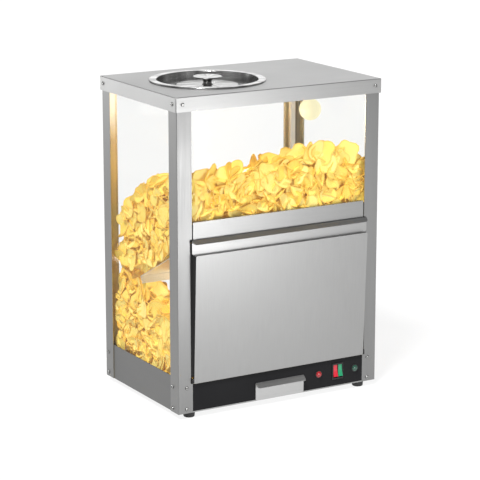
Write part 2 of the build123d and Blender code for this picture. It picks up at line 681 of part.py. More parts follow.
with BuildPart() as terminal_block:
    block((128, 172), (104, 122), (PAN_FLOOR, PAN_FLOOR + 17))
    fillet(terminal_block.faces().sort_by(Axis.Z)[-1].edges(), 1.5)
    with BuildSketch(Plane.XY.offset(PAN_FLOOR + 17)):
        with Locations((150, 113)):
            with GridLocations(13, 0, 3, 1):
                Circle(3.4)
    extrude(amount=-8, mode=Mode.SUBTRACT)
    for x in (137, 150, 163):
        drill([Plane(origin=(x, 103, PAN_FLOOR + 6), z_dir=(0, -1, 0))], 2.2, -20)
save(terminal_block, "terminal_block")

CORD_HOLE_R = 3.7
GLAND_NECK_R = 7.4
with BuildPart() as cord_gland:
    inner_wall = END_IN - FIT - SHEET
    gland_plane = Plane(origin=(GLAND_AT[0], inner_wall, GLAND_AT[1]), z_dir=(0, 1, 0))
    with BuildSketch(gland_plane.offset(-4)):
        RegularPolygon(11.0, 6)
    extrude(amount=4)
    with BuildSketch(gland_plane.offset(-7)):
        Circle(GLAND_R - 0.1)
    extrude(amount=8 + SHEET)
    with BuildSketch(gland_plane.offset(SHEET)):
        Circle(11.0)
    extrude(amount=4)
    fillet(cord_gland.faces().sort_by(Axis.Y)[-1].edges(), 1.6)
    neck_end = BACK + GLAND_REACH - inner_wall
    with BuildSketch(gland_plane.offset(SHEET + 4)):
        Circle(GLAND_NECK_R)
    extrude(amount=neck_end - SHEET - 4, taper=6)
    drill([gland_plane.offset(neck_end + 1)], CORD_HOLE_R, 35)
save(cord_gland, "cord_gland")

# ---- Double rocker switch ----
BEZEL_HALF = (13.2, 17.0)
ROCKER_HALF_X = 4.9
ROCKER_X = (SWITCH_X - 5.6, SWITCH_X + 5.6)
POCKET_HALF = (5.2, 13.8)
PIVOT_Y = FASCIA_FRONT + 4.0
PIVOT_R = 1.0
ROCKER_TILT = 10.0
with BuildPart() as switch_housing:
    block(
        (SWITCH_X - SWITCH_HALF[0], SWITCH_X + SWITCH_HALF[0]),
        (FASCIA_FRONT, FASCIA_FRONT + 24),
        (CONTROL_Z - SWITCH_HALF[1], CONTROL_Z + SWITCH_HALF[1]),
    )
    block(
        (SWITCH_X - BEZEL_HALF[0], SWITCH_X + BEZEL_HALF[0]),
        (FASCIA_FRONT - 2, FASCIA_FRONT),
        (CONTROL_Z - BEZEL_HALF[1], CONTROL_Z + BEZEL_HALF[1]),
    )
    fillet(switch_housing.faces().sort_by(Axis.Y)[0].edges(), 0.8)
    for x in ROCKER_X:
        block(
            (x - POCKET_HALF[0], x + POCKET_HALF[0]),
            (FASCIA_FRONT - 3, FASCIA_FRONT + 9),
            (CONTROL_Z - POCKET_HALF[1], CONTROL_Z + POCKET_HALF[1]),
            mode=Mode.SUBTRACT,
        )
        for z in (-8, 0, 8):
            tab_z = (CONTROL_Z + z - 3, CONTROL_Z + z + 3)
            block((x - 0.4, x + 0.4), (FASCIA_FRONT + 24, FASCIA_FRONT + 32), tab_z)
    drill([Plane(origin=(SWITCH_X + 20, PIVOT_Y, CONTROL_Z), z_dir=(1, 0, 0))], PIVOT_R + 0.02, 40)
save(switch_housing, "switch_housing")

with BuildPart() as rocker_pin:
    with BuildSketch(Plane(origin=(SWITCH_X, PIVOT_Y, CONTROL_Z), z_dir=(1, 0, 0))):
        Circle(PIVOT_R)
    extrude(amount=SWITCH_HALF[0] - 0.2, both=True)
save(rocker_pin, "rocker_pin")

for x, name in ((ROCKER_X[0], "rocker_heat"), (ROCKER_X[1], "rocker_light")):
    with BuildPart() as rocker:
        tilted = (0, cos(radians(ROCKER_TILT)), -sin(radians(ROCKER_TILT)))
        with BuildSketch(Plane(origin=(x, PIVOT_Y, CONTROL_Z), x_dir=tilted, z_dir=(1, 0, 0))):
            with BuildLine():
                ThreePointArc((-6.8, 11.9), (-4.9, 0), (-6.8, -11.9))
                Polyline((-6.8, -11.9), (-4.2, -12.7), (-1.6, -11.0), (2.2, -3.0))
                ThreePointArc((2.2, -3.0), (3.7, 0), (2.2, 3.0))
                Polyline((2.2, 3.0), (-1.6, 11.0), (-4.2, 12.7), (-6.8, 11.9))
            make_face()
            Circle(PIVOT_R + 0.06, mode=Mode.SUBTRACT)
        extrude(amount=ROCKER_HALF_X, both=True)
    save(rocker, name)

# ---- Pilot lamps ----
LENS_R = 6.3
BEZEL_R = 7.4
BEZEL_H = 1.8
LENS_SEAT = 0.4
for x, name in ((HEAT_LAMP_X, "heat_pilot_lens"), (READY_LAMP_X, "ready_pilot_lens")):
    with BuildPart() as lens:
        lens_back = (x, FASCIA_FRONT - LENS_SEAT - FIT, CONTROL_Z)
        with BuildSketch(Plane(origin=lens_back, x_dir=(0, -1, 0), z_dir=(1, 0, 0))):
            with BuildLine():
                Polyline((2.4, LENS_R - 0.1), (0, LENS_R - 0.1), (0, 0), (5.2, 0))
                ThreePointArc((5.2, 0), (4.5, 3.4), (2.4, LENS_R - 0.1))
            make_face()
        revolve(axis=Axis((x, 0, CONTROL_Z), (0, 1, 0)))
    save(lens, name)

with BuildPart() as pilot_bodies:
    for x in (HEAT_LAMP_X, READY_LAMP_X):
        bezel_plane = Plane(origin=(x, FASCIA_FRONT, CONTROL_Z), z_dir=(0, -1, 0))
        with BuildSketch(bezel_plane):
            Circle(BEZEL_R)
        extrude(amount=LENS_SEAT)
        with BuildSketch(bezel_plane):
            Circle(BEZEL_R)
            Circle(LENS_R, mode=Mode.SUBTRACT)
        extrude(amount=BEZEL_H)
        with BuildSketch(Plane(origin=(x, FASCIA_FRONT - 0.2, CONTROL_Z), z_dir=(0, 1, 0))):
            Circle(LAMP_BODY_R)
        extrude(amount=22)
save(pilot_bodies, "pilot_bodies")

# ---- Display lamp ----
SOCKET_Z = (BULB_Z + 31.0, TOP - 16.4)
CAP_R = 6.6
bulb_axis = Axis((BULB_X, 0, 0), (0, 0, 1))
bulb_section = Plane(origin=(BULB_X, 0, BULB_Z), x_dir=(1, 0, 0), z_dir=(0, -1, 0))
with BuildPart() as lamp_bracket:
    foot_z, seat_z = UNDER_COVER - 0.6, SOCKET_Z[1] + 0.6
    hat = [(-30, foot_z), (-19, foot_z), (-17, seat_z), (17, seat_z), (19, foot_z), (30, foot_z)]
    folded_sheet(hat, COVER_T, 32.0, Plane(origin=(BULB_X, 0, 0), x_dir=(1, 0, 0), z_dir=(0, -1, 0)))
save(lamp_bracket, "lamp_bracket")

with BuildPart() as lamp_socket:
    with BuildSketch(Plane(origin=(BULB_X, 0, SOCKET_Z[1]), z_dir=(0, 0, 1))):
        Circle(14.0)
    extrude(amount=SOCKET_Z[0] - SOCKET_Z[1], taper=3)
    fillet(lamp_socket.edges().sort_by(Axis.Z)[0], 1.5)
    drill([Plane(origin=(BULB_X, 0, SOCKET_Z[0] - 1), z_dir=(0, 0, -1))], CAP_R + 0.1, 23)
save(lamp_socket, "lamp_socket")

with BuildPart() as bulb:
    with BuildSketch(bulb_section):
        with BuildLine():
            ThreePointArc((0, -BULB_R), (BULB_R * sin(radians(45)), -BULB_R * cos(radians(45))), (BULB_R, 0))
            ThreePointArc((BULB_R, 0), (BULB_R * cos(radians(27)), BULB_R * sin(radians(27))), (13.22, 18.2))
            Spline((13.22, 18.2), (7.4, 30.0), tangents=((-0.809, 0.588), (0, 1)))
            Polyline((7.4, 30.0), (CAP_R, 30.5), (CAP_R, 49.0), (3.0, 52.0), (0, 52.0), (0, -BULB_R))
        make_face()
    revolve(axis=bulb_axis)
save(bulb, "bulb")

with BuildPart() as wire_channel:
    block(WIRE_WAY_X, WIRE_WAY_Y, (FLOOR_Z, UNDER_COVER - 2))
    block(
        (WIRE_WAY_X[0] + 0.8, WIRE_WAY_X[1] - 0.8),
        (WIRE_WAY_Y[0] + 0.8, WIRE_WAY_Y[1] - 0.8),
        (FLOOR_Z - 1, UNDER_COVER),
        mode=Mode.SUBTRACT,
    )
save(wire_channel, "wire_channel")
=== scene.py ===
"""Looks for a countertop chip warmer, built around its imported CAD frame.

The CAD nodes keep their shapes and get procedural materials here. The chips that fill the cabinet
are staged contents, seeded so that every run gives the same load. Metres, Z up, front towards -Y.
"""

import json
import math
import random

import bpy
import numpy as np
from mathutils import Euler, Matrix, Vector


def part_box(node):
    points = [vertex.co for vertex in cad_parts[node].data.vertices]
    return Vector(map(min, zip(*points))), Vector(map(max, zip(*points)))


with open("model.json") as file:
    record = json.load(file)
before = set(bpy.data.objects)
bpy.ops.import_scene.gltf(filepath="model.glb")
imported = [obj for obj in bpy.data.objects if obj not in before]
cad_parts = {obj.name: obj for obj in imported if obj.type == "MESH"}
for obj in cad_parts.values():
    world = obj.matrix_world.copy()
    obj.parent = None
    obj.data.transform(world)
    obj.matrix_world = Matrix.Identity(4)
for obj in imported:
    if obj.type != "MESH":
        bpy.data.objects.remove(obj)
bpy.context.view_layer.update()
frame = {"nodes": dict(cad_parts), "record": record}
nodes = frame["nodes"]
scene = bpy.context.scene
scene.view_settings.view_transform = "Standard"

# ---- Camera ----
CAMERA_PLACE = Vector((-2.048, -3.482, 1.273))
CAMERA_AZIMUTH = math.radians(-30.46)
CAMERA_DROP = math.radians(13.51)
CAMERA_LENS = 153.3  # millimetres, on a 36 mm sensor

camera_data = bpy.data.cameras.new("camera")
camera_data.lens = CAMERA_LENS
camera_data.sensor_width = 36.0
camera_data.clip_start = 0.1
camera_data.clip_end = 60.0
camera = bpy.data.objects.new("camera", camera_data)
camera.location = CAMERA_PLACE
camera.rotation_euler = Euler((math.pi / 2 - CAMERA_DROP, 0.0, CAMERA_AZIMUTH), "XYZ")
scene.collection.objects.link(camera)
scene.camera = camera


# ---- Node helpers ----
MIDDLE = (0.3, 0.7)  # where most of a noise texture's values lie


def step(tree, kind, operation, a, b=None):
    """One step of arithmetic in a node tree. Each input is an output to join, or a value."""
    made = tree.nodes.new("ShaderNode" + kind)
    made.operation = operation
    for socket, value in zip(made.inputs, (a, b)):
        if isinstance(value, bpy.types.NodeSocket):
            tree.links.new(value, socket)
        elif value is not None:
            socket.default_value = value
    return made


class Shader:
    """A material's node tree, with short ways to add and join nodes."""

    def __init__(self, name):
        self.material = bpy.data.materials.new(name)
        self.material.use_nodes = True
        self.tree = self.material.node_tree
        self.principled = self.tree.nodes["Principled BSDF"]

    def set(self, **sockets):
        """Sets sockets of the main shader, such as base_color or roughness."""
        for name, value in sockets.items():
            socket = name.replace("_", " ").title().replace("Ior", "IOR")
            self.principled.inputs[socket].default_value = value
        return self

    def node(self, kind, **settings):
        """A new node. Each setting is one of its properties, or the value of an input."""
        made = self.tree.nodes.new("ShaderNode" + kind)
        for name, value in settings.items():
            if name in made.bl_rna.properties:
                setattr(made, name, value)
            else:
                made.inputs[name.replace("_", " ").title()].default_value = value
        return made

    def join(self, output, target):
        self.tree.links.new(output, target)

    def to(self, output, socket):
        """Joins an output to a socket of the main shader."""
        self.join(output, self.principled.inputs[socket])

    def point(self):
        """The shaded point, in the piece's own coordinates."""
        return self.node("TexCoord").outputs["Object"]

    def noise(self, scale, stretch=(1, 1, 1), detail=3.0, rough=0.55):
        """Noise over the piece, stretched by a factor along each axis."""
        texture = self.node("TexNoise", scale=scale, detail=detail, roughness=rough)
        point = self.point()
        mapping = self.node("Mapping")
        mapping.inputs["Scale"].default_value = stretch
        self.join(point, mapping.inputs["Vector"])
        self.join(mapping.outputs["Vector"], texture.inputs["Vector"])
        return texture.outputs["Fac"]

    def noise_around(self, centre, scale):
        """Noise that changes only with the direction around an upright axis.

        The sheen of spun metal does the same; the lid's painted sheen is drawn with it.
        """
        point = self.point()
        steps = (("SUBTRACT", centre), ("MULTIPLY", (1.0, 1.0, 0.0)), ("NORMALIZE", None))
        for operation, value in steps:
            point = step(self.tree, "VectorMath", operation, point, value).outputs[0]
        texture = self.node("TexNoise", scale=scale, detail=3.0, roughness=0.6)
        self.join(point, texture.inputs["Vector"])
        return texture.outputs["Fac"]

    def spread(self, value, low, high, start=MIDDLE[0], end=MIDDLE[1]):
        """Maps start to end, or a texture's middle range, onto low to high."""
        ranged = self.node("MapRange")
        ranged.inputs["From Min"].default_value = start
        ranged.inputs["From Max"].default_value = end
        ranged.inputs["To Min"].default_value = low
        ranged.inputs["To Max"].default_value = high
        self.join(value, ranged.inputs["Value"])
        return ranged.outputs["Result"]

    def ramp(self, value, *stops):
        """A colour ramp through (place, colour) stops."""
        ramp = self.node("ValToRGB")
        elements = ramp.color_ramp.elements
        elements[0].position, elements[0].color = stops[0][0], (*stops[0][1], 1)
        elements[1].position, elements[1].color = stops[-1][0], (*stops[-1][1], 1)
        for place, colour in stops[1:-1]:
            added = elements.new(place)
            added.color = (*colour, 1)
        self.join(value, ramp.inputs["Fac"])
        return ramp.outputs["Color"]

    def tint(self, value, low, high):
        """A colour ramp over a texture's middle range."""
        return self.ramp(value, (MIDDLE[0], low), (MIDDLE[1], high))

    def bump(self, height, strength, distance):
        """Gives the main shader a relief with the given depth."""
        bump = self.node("Bump", strength=strength, distance=distance)
        self.join(height, bump.inputs["Height"])
        self.to(bump.outputs["Normal"], "Normal")

    def blend(self, factor, a, b):
        """Colour a where the factor is 0, and b where it is 1."""
        mix = self.node("MixRGB")
        for socket, value in zip(mix.inputs, (factor, a, b)):
            if isinstance(value, bpy.types.NodeSocket):
                self.join(value, socket)
            else:
                socket.default_value = (*value, 1)
        return mix.outputs["Color"]

    def inside(self, half_x, half_y):
        """1 where a point lies within an upright box around the origin, else 0."""
        split = self.node("SeparateXYZ")
        self.join(self.point(), split.inputs[0])
        within = []
        for axis, half in (("X", half_x), ("Y", half_y)):
            size = self.math("ABSOLUTE", split.outputs[axis])
            within.append(self.math("LESS_THAN", size, half))
        return self.math("MINIMUM", *within)

    def math(self, operation, a, b=None):
        return step(self.tree, "Math", operation, a, b).outputs[0]


def shade(colour, factor):
    """The colour made darker or lighter, and never brighter than white."""
    return tuple(min(1.0, c * factor) for c in colour)


# ---- Materials ----
GRAIN = {"X": (1, 60, 60), "Y": (60, 1, 60), "Z": (60, 60, 1)}  # long along one axis
FINE = 0.0003  # depth of brush marks and moulded grain
INNER_HALF_X, INNER_HALF_Y = 0.2295, 0.1545  # just inside the outer faces of the corner posts
# Painted warm light: the gold of the lamp and the chips reflected on the posts' inner faces,
# painted into their colour.
PAINTED_WARM_LIGHT = (0.64, 0.57, 0.42)


def brushed_steel(name, colour, grain, roughness, contrast=0.05, painted_warmth=None):
    """Brushed stainless steel, with its grain along one axis and faint dull patches.

    The last argument is the colour painted on the faces that look into the cabinet: painted warm
    light, the lamp's light and the chips' gold reflected on the steel.
    """
    s = Shader(name)
    lines = s.noise(9.0, GRAIN[grain], detail=5.0, rough=0.62)
    patches = s.noise(3.2, detail=4.0)
    tone = s.tint(lines, shade(colour, 1 - contrast), shade(colour, 1 + contrast))
    # painted warm light on the faces inside the cabinet
    if painted_warmth:
        painted_warm_tone = s.tint(patches, shade(painted_warmth, 0.92), painted_warmth)
        tone = s.blend(s.inside(INNER_HALF_X, INNER_HALF_Y), tone, painted_warm_tone)
    s.to(tone, "Base Color")
    by_line = s.spread(lines, roughness - 0.05, roughness + 0.05)
    s.to(s.math("ADD", by_line, s.spread(patches, -0.03, 0.05)), "Roughness")
    s.bump(lines, 0.03, FINE)
    return s.set(metallic=1.0).material


def spun_steel(name, colour, roughness):
    """Turned steel of the screws, with fine marks and uneven wiping."""
    s = Shader(name)
    marks = s.noise(60.0, detail=6.0, rough=0.7)
    wipes = s.noise(7.0, detail=4.0)
    s.to(s.tint(wipes, shade(colour, 0.94), shade(colour, 1.03)), "Base Color")
    by_mark = s.spread(marks, roughness, roughness + 0.05)
    s.to(s.math("ADD", by_mark, s.spread(wipes, 0.0, 0.05)), "Roughness")
    s.bump(marks, 0.02, FINE)
    return s.set(metallic=1.0).material


def lid_steel(name, dark, light, roughness):
    """Spun and polished steel with a painted sheen: light and dark rays around the lid's middle,
    painted into its colour.
    """
    low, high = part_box("lid")
    centre = nodes["lid"].matrix_world.inverted() @ ((Vector(low) + Vector(high)) / 2)
    s = Shader(name)
    # painted sheen: the rays of reflection are painted into the base colour, dark and light being
    # their two colours
    rays = s.noise_around(centre, 2.6)
    s.to(s.ramp(rays, (0.36, dark), (0.52, shade(light, 0.72)), (0.66, light)), "Base Color")
    marks = s.noise(60.0, detail=6.0, rough=0.7)
    by_mark = s.spread(marks, roughness, roughness + 0.05)
    s.to(s.math("ADD", by_mark, s.spread(rays, 0.04, -0.02)), "Roughness")
    s.bump(marks, 0.02, FINE)
    return s.set(metallic=1.0).material


def clear_glass(name):
    """Clear pane: nearly invisible face on, greener and more mirror-like at a glancing angle."""
    s = Shader(name)
    glancing = s.node("LayerWeight", blend=0.25).outputs["Facing"]
    s.to(s.spread(glancing, 0.025, 0.16, 0.0, 1.0), "Alpha")
    smears = s.noise(6.0, detail=4.0)
    s.to(s.spread(smears, 0.01, 0.05), "Roughness")
    tone = s.ramp(glancing, (0.0, (0.30, 0.33, 0.31)), (1.0, (0.16, 0.24, 0.21)))
    s.to(tone, "Base Color")
    s.material.surface_render_method = "BLENDED"
    return s.set(ior=1.5, specular_ior_level=0.6).material


def moulded(name, colour, roughness, grain_scale, bump, contrast=0.12):
    """Plastic, rubber or ceramic with a fine grain and a slightly uneven sheen."""
    s = Shader(name)
    grain = s.noise(grain_scale, detail=3.0)
    cloud = s.noise(11.0, detail=3.0)
    s.to(s.tint(cloud, shade(colour, 1 - contrast), shade(colour, 1 + contrast)), "Base Color")
    s.to(s.spread(grain, roughness - 0.06, roughness + 0.08), "Roughness")
    s.bump(grain, bump, FINE)
    return s


def lit_plastic(name, colour, glow, strength):
    """Translucent moulded plastic over a lamp."""
    s = moulded(name, colour, 0.18, 900.0, 0.02, 0.08)
    hot = s.noise(220.0, detail=2.0)
    s.to(s.ramp(hot, (0.25, shade(glow, 0.75)), (0.75, glow)), "Emission Color")
    return s.set(emission_strength=strength, coat_weight=0.5, coat_roughness=0.08).material


def bulb_glass(name, colour, strength):
    """Frosted lamp glass, glowing unevenly from inside."""
    s = Shader(name)
    cloud = s.noise(40.0, detail=3.0)
    s.to(s.tint(cloud, shade(colour, 0.93), colour), "Emission Color")
    s.to(s.tint(cloud, (0.08, 0.07, 0.04), (0.12, 0.10, 0.06)), "Base Color")
    return s.set(emission_strength=strength, roughness=0.5, specular_ior_level=0.1).material


# Lighter and warmer than the outer sheets: painted warm light, the chips' gold reflected on the
# steel inside the cabinet.
INNER_STEEL_PAINTED_WARM = (0.66, 0.63, 0.56)
# After a name and a colour, brushed_steel takes the grain's axis, roughness and contrast.
# moulded takes roughness, the grain's scale, its strength as a bump, and contrast.
# lit_plastic takes the glow's colour and its strength.
materials = {
    "inner_steel": brushed_steel("inner_steel", INNER_STEEL_PAINTED_WARM, "X", 0.40),
    # The lid's two colours are the dark and light rays of its painted sheen.
    "polished_steel": lid_steel("polished_steel", (0.20, 0.20, 0.20), (0.60, 0.60, 0.595), 0.20),
    "screw_steel": spun_steel("screw_steel", (0.32, 0.32, 0.315), 0.20),
    "clear_glass": clear_glass("clear_glass"),
    "fascia_black": moulded("fascia_black", (0.011, 0.011, 0.012), 0.42, 1400.0, 0.04, 0.10)
    .set(specular_ior_level=0.10)
    .material,
    "black_plastic": moulded("black_plastic", (0.018, 0.018, 0.018), 0.55, 800.0, 0.15).material,
    "switch_plastic": moulded("switch_plastic", (0.006, 0.006, 0.006), 0.35, 900.0, 0.10).material,
    "seal_rubber": moulded("seal_rubber", (0.014, 0.014, 0.014), 0.70, 600.0, 0.20).material,
    "foot_rubber": moulded("foot_rubber", (0.018, 0.018, 0.018), 0.62, 500.0, 0.25).material,
    "red_rocker": lit_plastic("red_rocker", (0.42, 0.012, 0.025), (1.0, 0.03, 0.06), 0.16),
    "green_rocker": lit_plastic("green_rocker", (0.012, 0.22, 0.10), (0.03, 1.0, 0.40), 0.05),
    "red_lens": lit_plastic("red_lens", (0.26, 0.008, 0.012), (1.0, 0.02, 0.03), 0.07),
    "green_lens": lit_plastic("green_lens", (0.012, 0.06, 0.04), (0.10, 0.6, 0.35), 0.01),
    "lamp_glass": bulb_glass("lamp_glass", (1.0, 0.94, 0.62), 0.96),
    "socket_ceramic": moulded("socket_ceramic", (0.84, 0.82, 0.76), 0.45, 260.0, 0.08, 0.05)
    .material,
    "heater_sheath": brushed_steel("heater_sheath", (0.26, 0.22, 0.19), "Y", 0.42, 0.18),
    "control_body": moulded("control_body", (0.05, 0.035, 0.025), 0.45, 500.0, 0.12).material,
}
# The cabinet's sheets: how a piece's name starts, which way its grain runs, and how bright it is.
# The steel is the same all over: the brightness is painted light and shade, lit and shaded copies
# of one steel, darker where shade falls, as on the side panels, lighter where light falls.
# The last row takes every other piece.
SHEETS_WITH_PAINTED_LIGHT = (
    ("top_cover", "X", 0.395),
    ("post_", "Z", 0.255),
    ("side_panel_", "Y", 0.185),
    ("door_outer_pan", "Z", 0.34),
    ("door_pull", "X", 0.36),
    ("front_rail", "X", 0.305),
    ("tray_handle", "X", 0.46),
    ("", "X", 0.34),
)
cabinet_steels = {}


def cabinet_steel_for(node):
    """The steel with that piece's grain and painted brightness, made once for each kind of sheet.
    """
    prefix, grain, tone = next(sheet for sheet in SHEETS_WITH_PAINTED_LIGHT if node.startswith(sheet[0]))
    if prefix not in cabinet_steels:
        colour = (tone, tone, tone * 0.994)
        name = "cabinet_steel_" + (prefix.strip("_") or "panel")
        # only the posts get painted warm light on their inner faces
        painted_warmth = PAINTED_WARM_LIGHT if prefix == "post_" else None
        cabinet_steels[prefix] = brushed_steel(name, colour, grain, 0.40, 0.035, painted_warmth)
    return cabinet_steels[prefix]


for subpart in frame["record"]["subparts"]:
    name, slot = subpart["node"], subpart["material_slot"]
    node = nodes[name]
    material = cabinet_steel_for(name) if slot == "cabinet_steel" else materials[slot]
    node.data.materials.clear()
    node.data.materials.append(material)

# ---- Chips: staged contents, not part of the warmer ----
# The space they may take up, inside the panes and above the bin's floor.
HOPPER_X = 0.220
LOAD_Y = (-0.145, 0.136)
BIN_FLOOR = 0.0735
LOAD_HEIGHT = 0.46
SHELF_TIP = Vector((0.0, 0.015, 0.253))  # rear edge of the shelf's upper face
SHELF_SLOPE = math.tan(math.radians(27.3))
SHELF_CLEAR = 0.002
SHELF_REACH = 0.02  # how far past the tip chips still count as lying on the shelf
SEEN_DEPTH = 0.075  # chips farther than this from every pane and from the top are left out

# The heap on the shelf. Its top is given at a corner and rises to the right from there.
HEAP_CORNER = (-0.19, -0.11)
HEAP_TOP = 0.457
HEAP_RISE_RIGHT = 0.11
HEAP_SAG_X, HEAP_SAG, HEAP_SAG_POWER = 0.14, 2.4, 1.4  # lower towards the right pane
HEAP_DROP_BACK, HEAP_DROP_REAR = 0.38, 5.0  # the second goes with the cube of the distance
# Left of this x and behind this y the heap lies higher against the left pane.
HEAP_PANE_X, HEAP_PANE_Y, HEAP_PANE_RISE = -0.13, -0.09, 0.032
HEAP_PANE_RATE = (25, 16)  # how fast it gets there, per metre of x and of y

# The gap behind the shelf. Left of the first x chips fill it. Right of it they only bridge it,
# above a pile that rises towards the second x and is cut off by bin_limit.
FALL_X = (-0.185, 0.0)
FALL_Y = (0.030, 0.118)
FALL_WIDE_Z = 0.33  # above this the gap's chips reach the rear pane
FALL_TOP, FALL_DROP_FRONT, FALL_DROP_LEFT = 0.275, 0.75, 1.8
BRIDGE_X, BRIDGE_Z, BRIDGE_DROP = -0.05, 0.30, 0.5  # its underside sinks to the right of this x

# The lower bin. Its pile falls to the front, and to the right over BIN_DROP_REACH.
BIN_TOP, BIN_DROP_RIGHT, BIN_DROP_FRONT = 0.236, 0.95, 0.28
BIN_DROP_REACH = 0.10
BIN_STEP_Y, BIN_STEP, BIN_STEP_RATE = 0.04, 0.034, 25  # lower in front of this y
BIN_LIMIT_X, BIN_LIMIT_Z, BIN_LIMIT_DROP = -0.20, 0.262, 0.3

CHIP_SEED = 11
CHIP_SHAPES = 16
CHIP_PITCH = 0.0195  # side of the cells that hold one chip each
CHIP_RADIUS = (0.020, 0.0275)
CHIP_THICKNESS = 0.0013
CHIP_RINGS, CHIP_SEGMENTS = 5, 24
CHIP_LOBES = ((2, 0.03, 0.13), (3, 0.08, 0.19), (4, 0.02, 0.10), (5, 0.00, 0.07), (9, 0.00, 0.03))
CHIP_WAVES = (260, 210)  # wrinkles along x and y, in radians per metre
# How far a chip's turn strays at a wall, how much more in the open, and how far off that is.
STRAY_AT_WALL, STRAY_IN_OPEN, OPEN_DISTANCE = 0.8, 1.5, 0.018
STRAY = 0.7
# Painted glow: the chips give off a little light of their own, standing in for the lamp light that
# thin chips pass on to their neighbours.
CHIP_PAINTED_GLOW = 0.05  # thin chips pass lamp light on to their neighbours


def chip_material():
    """Fried corn: golden faces, browner rims and blisters, and a tone of its own for each chip.
    The rims' brown is partly fried edge and partly painted shade, drawing dark lines between
    chips.
    """
    s = Shader("chip")
    own = s.node("ObjectInfo").outputs["Random"]
    mottle = s.noise(70.0, detail=5.0)
    rim = s.node("Attribute", attribute_name="rim").outputs["Fac"]
    tone = s.math("ADD", s.math("MULTIPLY", own, 0.55), s.math("MULTIPLY", mottle, 0.45))
    dark, middle, light = (0.91, 0.60, 0.075), (0.96, 0.73, 0.14), (0.98, 0.82, 0.26)
    gold = s.ramp(tone, (0.15, dark), (0.4, middle), (0.8, light))
    # Browner rims: real browning of the fried edge, and painted shade that outlines each chip.
    browned_and_shaded_rim = (0.82, 0.40, 0.03)
    s.to(s.blend(s.spread(rim, 0.0, 0.60, 0.88, 1.0), gold, browned_and_shaded_rim), "Base Color")
    s.to(s.spread(mottle, 0.42, 0.62), "Roughness")
    s.bump(mottle, 0.25, 0.0010)
    # painted glow: a faint orange light given off by every chip
    glow = s.ramp(own, (0.0, (1.0, 0.54, 0.05)), (1.0, (1.0, 0.62, 0.10)))
    s.to(glow, "Emission Color")
    return s.set(specular_ior_level=0.2, emission_strength=CHIP_PAINTED_GLOW).material


def chip_mesh(name, rng, material):
    """One chip: a lobed disc, curled two ways and a little wrinkled, closed top and bottom."""
    lobes = [
        (number, rng.uniform(low, high), rng.uniform(0, math.tau))
        for number, low, high in CHIP_LOBES
    ]
    radius = rng.uniform(*CHIP_RADIUS)
    curl = rng.uniform(2, 9), rng.uniform(-4, 4), rng.uniform(-3, 3)
    wrinkle, phase = rng.uniform(0.0002, 0.0006), rng.uniform(0, math.tau)
    points, rims = [(0.0, 0.0)], [0.0]
    for ring in range(1, CHIP_RINGS + 1):
        share = ring / CHIP_RINGS
        for k in range(CHIP_SEGMENTS):
            angle = math.tau * k / CHIP_SEGMENTS
            reach = 1 + sum(size * math.cos(n * angle + turn) for n, size, turn in lobes)
            out = radius * share * reach
            points.append((out * math.cos(angle), out * math.sin(angle)))
            rims.append(share)

    def height(x, y):
        bend = curl[0] * x * x + curl[1] * y * y + curl[2] * x * y
        return bend + wrinkle * math.sin(CHIP_WAVES[0] * x + phase) * math.cos(CHIP_WAVES[1] * y)

    count = len(points)
    vertices = [
        (x, y, height(x, y) + side * CHIP_THICKNESS / 2) for side in (1, -1) for x, y in points
    ]
    faces = []
    for k in range(CHIP_SEGMENTS):
        after = (k + 1) % CHIP_SEGMENTS
        faces.append((0, 1 + k, 1 + after))
        faces.append((count, count + 1 + after, count + 1 + k))
        for ring in range(CHIP_RINGS - 1):
            a, b = 1 + ring * CHIP_SEGMENTS + k, 1 + ring * CHIP_SEGMENTS + after
            c, d = b + CHIP_SEGMENTS, a + CHIP_SEGMENTS
            faces.append((a, d, c, b))
            faces.append((count + a, count + b, count + c, count + d))
        outer = 1 + (CHIP_RINGS - 1) * CHIP_SEGMENTS
        faces.append((outer + k, count + outer + k, count + outer + after, outer + after))
    mesh = bpy.data.meshes.new(name)
    mesh.from_pydata(vertices, [], faces)
    mesh.shade_smooth()
    mesh.set_sharp_from_angle(angle=math.radians(40))
    mesh.attributes.new("rim", "FLOAT", "POINT").data.foreach_set("value", rims * 2)
    mesh.materials.append(material)
    return mesh


def shelf_height(y):
    return SHELF_TIP.z + (SHELF_TIP.y - y) * SHELF_SLOPE


def fade(rate, past):
    """0 before a line, and rising to 1 past it at a rate per metre."""
    return min(1.0, max(0.0, rate * past))


def heap_height(x, y):
    """Top of the chips above the shelf.

    It rises to the right and against the left pane, and sinks at the right pane and to the rear.
    """
    at_right = max(0.0, x - HEAP_SAG_X)
    rise = HEAP_RISE_RIGHT * (x - HEAP_CORNER[0])
    across = HEAP_TOP + rise - HEAP_SAG * at_right**HEAP_SAG_POWER
    by_left_pane = fade(HEAP_PANE_RATE[0], HEAP_PANE_X - x)
    by_left_pane *= fade(HEAP_PANE_RATE[1], y - HEAP_PANE_Y)
    back = y - HEAP_CORNER[1]
    front = across + HEAP_PANE_RISE * by_left_pane
    return front - HEAP_DROP_BACK * back - HEAP_DROP_REAR * max(0.0, back) ** 3


def bin_height(x, y):
    """Top of the chips in the lower bin: a slope from the left pane, and one from the rear gap."""
    from_pane = min(BIN_DROP_REACH, max(0.0, x - FALL_X[0]))
    by_left_pane = BIN_TOP - BIN_DROP_RIGHT * from_pane - BIN_DROP_FRONT * max(0.0, -y)
    by_left_pane -= BIN_STEP * fade(BIN_STEP_RATE, BIN_STEP_Y - y)
    before_gap, left_of_gap = max(0.0, FALL_Y[0] - y), max(0.0, FALL_X[1] - x)
    under_gap = FALL_TOP - FALL_DROP_FRONT * before_gap - FALL_DROP_LEFT * left_of_gap
    return max(by_left_pane, under_gap)


def bin_limit(x):
    """Height up to which a point counts as part of the lower bin."""
    return BIN_LIMIT_Z - BIN_LIMIT_DROP * max(0.0, x - BIN_LIMIT_X)


